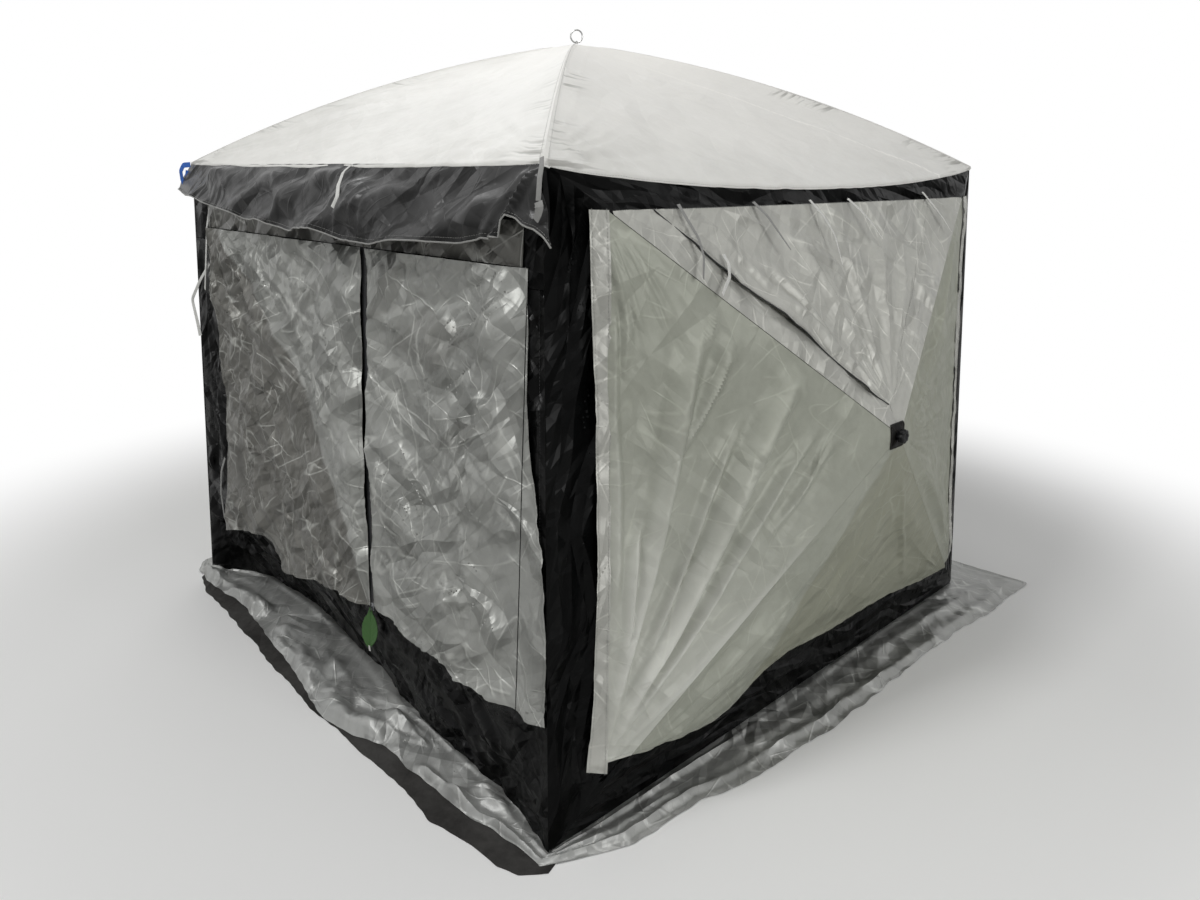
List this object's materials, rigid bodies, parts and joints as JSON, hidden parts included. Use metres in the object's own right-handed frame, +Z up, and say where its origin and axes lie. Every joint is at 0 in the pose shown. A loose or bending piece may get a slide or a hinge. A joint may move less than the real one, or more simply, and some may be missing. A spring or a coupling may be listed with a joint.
{
  "type": "pop-up screen tent",
  "caption": "Pop-up screen tent with a domed roof, outward-popping hub walls, silver wind covers, window flaps, a zipped double door under an awning and a ground skirt.",
  "frame": {"origin": "centre of the tent's overall footprint, on the ground", "axes": "+Z up; -Y out of the door wall; +X out of the hub wall to the right of the door"},
  "size_m": [2.6664, 2.5333, 2.0592],
  "materials": {
    "black_fabric": "coated polyester and fine mesh, near black",
    "black_plastic": "moulded nylon, matt black",
    "fibreglass": "fibreglass rod, dark grey, smooth",
    "green_webbing": "woven webbing, green",
    "grey_fabric": "coated polyester, dark grey, smooth sheen",
    "roof_fabric": "coated polyester, pale silver white, satin",
    "silver_fabric": "coated polyester, crinkled silver, satin sheen",
    "skirt_fabric": "coated polyester, silver, crumpled",
    "steel": "zinc-plated steel, bright",
    "zip_metal": "die-cast zip slider, dull nickel"
  },
  "bodies": {
    "tent": {"roof_canopy": "roof_fabric", "door_surround": "black_fabric", "ground_skirt": "skirt_fabric"},
    "roof_hub": {"roof_hub": "black_plastic", "roof_eye_bolt": "steel"},
    "roof_pole_front_right": {"roof_pole_front_right": "fibreglass"},
    "roof_pole_back_right": {"roof_pole_back_right": "fibreglass"},
    "roof_pole_back_left": {"roof_pole_back_left": "fibreglass"},
    "roof_pole_front_left": {"roof_pole_front_left": "fibreglass"},
    "roof_ring": {"roof_ring": "steel"},
    "right_wall_hub": {"right_wall_hub": "black_plastic", "right_wall_patch": "black_fabric", "right_wall_knob": "black_plastic"},
    "right_wall_pole_top_left": {"right_wall_pole_top_left": "fibreglass"},
    "right_wall_pole_top_right": {"right_wall_pole_top_right": "fibreglass"},
    "right_wall_pole_bottom_right": {"right_wall_pole_bottom_right": "fibreglass"},
    "right_wall_pole_bottom_left": {"right_wall_pole_bottom_left": "fibreglass"},
    "right_wall_panel_top": {"right_wall_panel_top": "black_fabric"},
    "right_wall_panel_right": {"right_wall_panel_right": "black_fabric", "right_wall_cover_right": "silver_fabric"},
    "right_wall_panel_bottom": {"right_wall_panel_bottom": "black_fabric", "right_wall_cover_bottom": "silver_fabric"},
    "right_wall_panel_left": {"right_wall_panel_left": "black_fabric", "right_wall_cover_left": "silver_fabric"},
    "right_wall_window_flap": {"right_wall_window_flap": "silver_fabric"},
    "back_wall_hub": {"back_wall_hub": "black_plastic", "back_wall_patch": "black_fabric", "back_wall_knob": "black_plastic"},
    "back_wall_pole_top_left": {"back_wall_pole_top_left": "fibreglass"},
    "back_wall_pole_top_right": {"back_wall_pole_top_right": "fibreglass"},
    "back_wall_pole_bottom_right": {"back_wall_pole_bottom_right": "fibreglass"},
    "back_wall_pole_bottom_left": {"back_wall_pole_bottom_left": "fibreglass"},
    "back_wall_panel_top": {"back_wall_panel_top": "black_fabric"},
    "back_wall_panel_right": {"back_wall_panel_right": "black_fabric", "back_wall_cover_right": "silver_fabric"},
    "back_wall_panel_bottom": {"back_wall_panel_bottom": "black_fabric", "back_wall_cover_bottom": "silver_fabric"},
    "back_wall_panel_left": {"back_wall_panel_left": "black_fabric", "back_wall_cover_left": "silver_fabric"},
    "back_wall_window_flap": {"back_wall_window_flap": "silver_fabric"},
    "left_wall_hub": {"left_wall_hub": "black_plastic", "left_wall_patch": "black_fabric", "left_wall_knob": "black_plastic"},
    "left_wall_pole_top_left": {"left_wall_pole_top_left": "fibreglass"},
    "left_wall_pole_top_right": {"left_wall_pole_top_right": "fibreglass"},
    "left_wall_pole_bottom_right": {"left_wall_pole_bottom_right": "fibreglass"},
    "left_wall_pole_bottom_left": {"left_wall_pole_bottom_left": "fibreglass"},
    "left_wall_panel_top": {"left_wall_panel_top": "black_fabric"},
    "left_wall_panel_right": {"left_wall_panel_right": "black_fabric", "left_wall_cover_right": "silver_fabric"},
    "left_wall_panel_bottom": {"left_wall_panel_bottom": "black_fabric", "left_wall_cover_bottom": "silver_fabric"},
    "left_wall_panel_left": {"left_wall_panel_left": "black_fabric", "left_wall_cover_left": "silver_fabric"},
    "left_wall_window_flap": {"left_wall_window_flap": "silver_fabric"},
    "door_panel_left": {"door_panel_left": "silver_fabric"},
    "door_panel_right": {"door_panel_right": "silver_fabric"},
    "zip_slider": {"zip_slider": "zip_metal"},
    "zip_pull_tab": {"zip_pull_tab": "green_webbing"},
    "door_awning": {"door_awning": "grey_fabric"}
  },
  "joints": [
    {"name": "roof_hub_pop", "type": "slide", "parent": "tent", "child": "roof_hub", "axis": [0, 0, -1], "range_m": [0, 0.76], "deforming": ["roof_canopy"]},
    {"name": "roof_pole_front_right_swing", "type": "hinge", "parent": "roof_hub", "child": "roof_pole_front_right", "pos_m": [0.0198, -0.09086, 1.98501], "axis": [-0.7071, -0.7071, 0], "range_deg": [0, 31.27]},
    {"name": "roof_pole_back_right_swing", "type": "hinge", "parent": "roof_hub", "child": "roof_pole_back_right", "pos_m": [0.0198, -0.05126, 1.98501], "axis": [0.7071, -0.7071, 0], "range_deg": [0, 31.27]},
    {"name": "roof_pole_back_left_swing", "type": "hinge", "parent": "roof_hub", "child": "roof_pole_back_left", "pos_m": [-0.0198, -0.05126, 1.98501], "axis": [0.7071, 0.7071, 0], "range_deg": [0, 31.27]},
    {"name": "roof_pole_front_left_swing", "type": "hinge", "parent": "roof_hub", "child": "roof_pole_front_left", "pos_m": [-0.0198, -0.09086, 1.98501], "axis": [-0.7071, 0.7071, 0], "range_deg": [0, 31.27]},
    {"name": "roof_ring_tilt", "type": "hinge", "parent": "roof_hub", "child": "roof_ring", "pos_m": [0, -0.07106, 2.0167], "axis": [0.7071, 0.7071, 0], "range_deg": [-78, 78]},
    {"name": "right_wall_pop", "type": "slide", "parent": "tent", "child": "right_wall_hub", "axis": [-0.9981, 0, -0.0617], "range_m": [0, 0.6], "deforming": ["right_wall_panel_top", "right_wall_panel_right", "right_wall_panel_bottom", "right_wall_panel_left", "right_wall_cover_left", "right_wall_cover_bottom", "right_wall_cover_right"]},
    {"name": "right_wall_pole_top_left_swing", "type": "hinge", "parent": "right_wall_hub", "child": "right_wall_pole_top_left", "pos_m": [1.29626, -0.0935, 0.92354], "axis": [-0.0494, 0.5981, 0.7999], "range_deg": [0, 28.32]},
    {"name": "right_wall_pole_top_right_swing", "type": "hinge", "parent": "right_wall_hub", "child": "right_wall_pole_top_right", "pos_m": [1.29626, -0.04862, 0.92354], "axis": [0.0494, 0.5981, -0.7999], "range_deg": [0, 28.32]},
    {"name": "right_wall_pole_bottom_right_swing", "type": "hinge", "parent": "right_wall_hub", "child": "right_wall_pole_bottom_right", "pos_m": [1.29839, -0.04945, 0.88906], "axis": [0.0476, -0.6357, -0.7705], "range_deg": [0, 24.77]},
    {"name": "right_wall_pole_bottom_left_swing", "type": "hinge", "parent": "right_wall_hub", "child": "right_wall_pole_bottom_left", "pos_m": [1.29839, -0.09267, 0.88906], "axis": [-0.0476, -0.6357, 0.7705], "range_deg": [0, 24.77]},
    {"name": "right_wall_panel_top_turn", "type": "hinge", "parent": "tent", "child": "right_wall_panel_top", "pos_m": [0.98, -1.05106, 1.62], "axis": [0, 1, 0], "range_deg": [0, 44.66]},
    {"name": "right_wall_panel_right_turn", "type": "hinge", "parent": "tent", "child": "right_wall_panel_right", "pos_m": [0.98, 0.90894, 1.62], "axis": [0.0616, 0.0616, -0.9962], "range_deg": [0, 32.73]},
    {"name": "right_wall_panel_bottom_turn", "type": "hinge", "parent": "tent", "child": "right_wall_panel_bottom", "pos_m": [1.08, 1.00894, 0.0023], "axis": [0, -1, 0], "range_deg": [0, 37.33]},
    {"name": "right_wall_panel_left_turn", "type": "hinge", "parent": "tent", "child": "right_wall_panel_left", "pos_m": [1.08, -1.15106, 0.0023], "axis": [-0.0616, 0.0616, 0.9962], "range_deg": [0, 32.73]},
    {"name": "right_wall_window_flap_lift", "type": "hinge", "parent": "right_wall_panel_top", "child": "right_wall_window_flap", "pos_m": [1.02843, -0.73106, 1.52], "axis": [0, -1, 0], "range_deg": [0, 120]},
    {"name": "back_wall_pop", "type": "slide", "parent": "tent", "child": "back_wall_hub", "axis": [0, -0.9981, -0.0617], "range_m": [0, 0.6], "deforming": ["back_wall_panel_top", "back_wall_panel_right", "back_wall_panel_bottom", "back_wall_panel_left", "back_wall_cover_left", "back_wall_cover_bottom", "back_wall_cover_right"]},
    {"name": "back_wall_pole_top_left_swing", "type": "hinge", "parent": "back_wall_hub", "child": "back_wall_pole_top_left", "pos_m": [0.02244, 1.2252, 0.92354], "axis": [-0.5981, -0.0494, 0.7999], "range_deg": [0, 28.32]},
    {"name": "back_wall_pole_top_right_swing", "type": "hinge", "parent": "back_wall_hub", "child": "back_wall_pole_top_right", "pos_m": [-0.02244, 1.2252, 0.92354], "axis": [-0.5981, 0.0494, -0.7999], "range_deg": [0, 28.32]},
    {"name": "back_wall_pole_bottom_right_swing", "type": "hinge", "parent": "back_wall_hub", "child": "back_wall_pole_bottom_right", "pos_m": [-0.02161, 1.22733, 0.88906], "axis": [0.6357, 0.0476, -0.7705], "range_deg": [0, 24.77]},
    {"name": "back_wall_pole_bottom_left_swing", "type": "hinge", "parent": "back_wall_hub", "child": "back_wall_pole_bottom_left", "pos_m": [0.02161, 1.22733, 0.88906], "axis": [0.6357, -0.0476, 0.7705], "range_deg": [0, 24.77]},
    {"name": "back_wall_panel_top_turn", "type": "hinge", "parent": "tent", "child": "back_wall_panel_top", "pos_m": [0.98, 0.90894, 1.62], "axis": [-1, 0, 0], "range_deg": [0, 44.66]},
    {"name": "back_wall_panel_right_turn", "type": "hinge", "parent": "tent", "child": "back_wall_panel_right", "pos_m": [-0.98, 0.90894, 1.62], "axis": [-0.0616, 0.0616, -0.9962], "range_deg": [0, 32.73]},
    {"name": "back_wall_panel_bottom_turn", "type": "hinge", "parent": "tent", "child": "back_wall_panel_bottom", "pos_m": [-1.08, 1.00894, 0.0023], "axis": [1, 0, 0], "range_deg": [0, 37.33]},
    {"name": "back_wall_panel_left_turn", "type": "hinge", "parent": "tent", "child": "back_wall_panel_left", "pos_m": [1.08, 1.00894, 0.0023], "axis": [-0.0616, -0.0616, 0.9962], "range_deg": [0, 32.73]},
    {"name": "back_wall_window_flap_lift", "type": "hinge", "parent": "back_wall_panel_top", "child": "back_wall_window_flap", "pos_m": [0.66, 0.95737, 1.52], "axis": [1, 0, 0], "range_deg": [0, 120]},
    {"name": "left_wall_pop", "type": "slide", "parent": "tent", "child": "left_wall_hub", "axis": [0.9981, 0, -0.0617], "range_m": [0, 0.6], "deforming": ["left_wall_panel_top", "left_wall_panel_right", "left_wall_panel_bottom", "left_wall_panel_left", "left_wall_cover_left", "left_wall_cover_bottom", "left_wall_cover_right"]},
    {"name": "left_wall_pole_top_left_swing", "type": "hinge", "parent": "left_wall_hub", "child": "left_wall_pole_top_left", "pos_m": [-1.29626, -0.04862, 0.92354], "axis": [0.0494, -0.5981, 0.7999], "range_deg": [0, 28.32]},
    {"name": "left_wall_pole_top_right_swing", "type": "hinge", "parent": "left_wall_hub", "child": "left_wall_pole_top_right", "pos_m": [-1.29626, -0.0935, 0.92354], "axis": [-0.0494, -0.5981, -0.7999], "range_deg": [0, 28.32]},
    {"name": "left_wall_pole_bottom_right_swing", "type": "hinge", "parent": "left_wall_hub", "child": "left_wall_pole_bottom_right", "pos_m": [-1.29839, -0.09267, 0.88906], "axis": [-0.0476, 0.6357, -0.7705], "range_deg": [0, 24.77]},
    {"name": "left_wall_pole_bottom_left_swing", "type": "hinge", "parent": "left_wall_hub", "child": "left_wall_pole_bottom_left", "pos_m": [-1.29839, -0.04945, 0.88906], "axis": [0.0476, 0.6357, 0.7705], "range_deg": [0, 24.77]},
    {"name": "left_wall_panel_top_turn", "type": "hinge", "parent": "tent", "child": "left_wall_panel_top", "pos_m": [-0.98, 0.90894, 1.62], "axis": [0, -1, 0], "range_deg": [0, 44.66]},
    {"name": "left_wall_panel_right_turn", "type": "hinge", "parent": "tent", "child": "left_wall_panel_right", "pos_m": [-0.98, -1.05106, 1.62], "axis": [-0.0616, -0.0616, -0.9962], "range_deg": [0, 32.73]},
    {"name": "left_wall_panel_bottom_turn", "type": "hinge", "parent": "tent", "child": "left_wall_panel_bottom", "pos_m": [-1.08, -1.15106, 0.0023], "axis": [0, 1, 0], "range_deg": [0, 37.33]},
    {"name": "left_wall_panel_left_turn", "type": "hinge", "parent": "tent", "child": "left_wall_panel_left", "pos_m": [-1.08, 1.00894, 0.0023], "axis": [0.0616, -0.0616, 0.9962], "range_deg": [0, 32.73]},
    {"name": "left_wall_window_flap_lift", "type": "hinge", "parent": "left_wall_panel_top", "child": "left_wall_window_flap", "pos_m": [-1.02843, 0.58894, 1.52], "axis": [0, 1, 0], "range_deg": [0, 120]},
    {"name": "door_panel_left_open", "type": "hinge", "parent": "tent", "child": "door_panel_left", "pos_m": [-0.86, -1.10007, 0.84507], "axis": [0, -0.0617, -0.9981], "range_deg": [0, 110]},
    {"name": "door_panel_right_open", "type": "hinge", "parent": "tent", "child": "door_panel_right", "pos_m": [0.94, -1.10007, 0.84507], "axis": [0, 0.0617, 0.9981], "range_deg": [0, 110]},
    {"name": "zip_slider_travel", "type": "slide", "parent": "door_panel_right", "child": "zip_slider", "axis": [0, 0.0617, 0.9981], "range_m": [0, 0.98]},
    {"name": "zip_pull_tab_swing", "type": "hinge", "parent": "zip_slider", "child": "zip_pull_tab", "pos_m": [0.254, -1.13901, 0.34638], "axis": [-1, 0, 0], "range_deg": [0, 150]},
    {"name": "door_awning_lift", "type": "hinge", "parent": "tent", "child": "door_awning", "pos_m": [0, -1.0532, 1.61475], "axis": [-1, 0, 0], "range_deg": [-18, 90]}
  ],
  "couplings": [
    {"joint": "roof_pole_front_right_swing", "follows": "roof_hub_pop", "rad_per_m": 0.71705},
    {"joint": "roof_pole_back_right_swing", "follows": "roof_hub_pop", "rad_per_m": 0.71705},
    {"joint": "roof_pole_back_left_swing", "follows": "roof_hub_pop", "rad_per_m": 0.71705},
    {"joint": "roof_pole_front_left_swing", "follows": "roof_hub_pop", "rad_per_m": 0.71705},
    {"joint": "right_wall_pole_top_left_swing", "follows": "right_wall_pop", "rad_per_m": 0.82224},
    {"joint": "right_wall_pole_top_right_swing", "follows": "right_wall_pop", "rad_per_m": 0.82224},
    {"joint": "right_wall_pole_bottom_right_swing", "follows": "right_wall_pop", "rad_per_m": 0.7192},
    {"joint": "right_wall_pole_bottom_left_swing", "follows": "right_wall_pop", "rad_per_m": 0.7192},
    {"joint": "right_wall_panel_top_turn", "follows": "right_wall_pop", "rad_per_m": 1.2975},
    {"joint": "right_wall_panel_right_turn", "follows": "right_wall_pop", "rad_per_m": 0.9507},
    {"joint": "right_wall_panel_bottom_turn", "follows": "right_wall_pop", "rad_per_m": 1.0844},
    {"joint": "right_wall_panel_left_turn", "follows": "right_wall_pop", "rad_per_m": 0.9507},
    {"joint": "back_wall_pole_top_left_swing", "follows": "back_wall_pop", "rad_per_m": 0.82224},
    {"joint": "back_wall_pole_top_right_swing", "follows": "back_wall_pop", "rad_per_m": 0.82224},
    {"joint": "back_wall_pole_bottom_right_swing", "follows": "back_wall_pop", "rad_per_m": 0.7192},
    {"joint": "back_wall_pole_bottom_left_swing", "follows": "back_wall_pop", "rad_per_m": 0.7192},
    {"joint": "back_wall_panel_top_turn", "follows": "back_wall_pop", "rad_per_m": 1.2975},
    {"joint": "back_wall_panel_right_turn", "follows": "back_wall_pop", "rad_per_m": 0.9507},
    {"joint": "back_wall_panel_bottom_turn", "follows": "back_wall_pop", "rad_per_m": 1.0844},
    {"joint": "back_wall_panel_left_turn", "follows": "back_wall_pop", "rad_per_m": 0.9507},
    {"joint": "left_wall_pole_top_left_swing", "follows": "left_wall_pop", "rad_per_m": 0.82224},
    {"joint": "left_wall_pole_top_right_swing", "follows": "left_wall_pop", "rad_per_m": 0.82224},
    {"joint": "left_wall_pole_bottom_right_swing", "follows": "left_wall_pop", "rad_per_m": 0.7192},
    {"joint": "left_wall_pole_bottom_left_swing", "follows": "left_wall_pop", "rad_per_m": 0.7192},
    {"joint": "left_wall_panel_top_turn", "follows": "left_wall_pop", "rad_per_m": 1.2975},
    {"joint": "left_wall_panel_right_turn", "follows": "left_wall_pop", "rad_per_m": 0.9507},
    {"joint": "left_wall_panel_bottom_turn", "follows": "left_wall_pop", "rad_per_m": 1.0844},
    {"joint": "left_wall_panel_left_turn", "follows": "left_wall_pop", "rad_per_m": 0.9507}
  ]
}
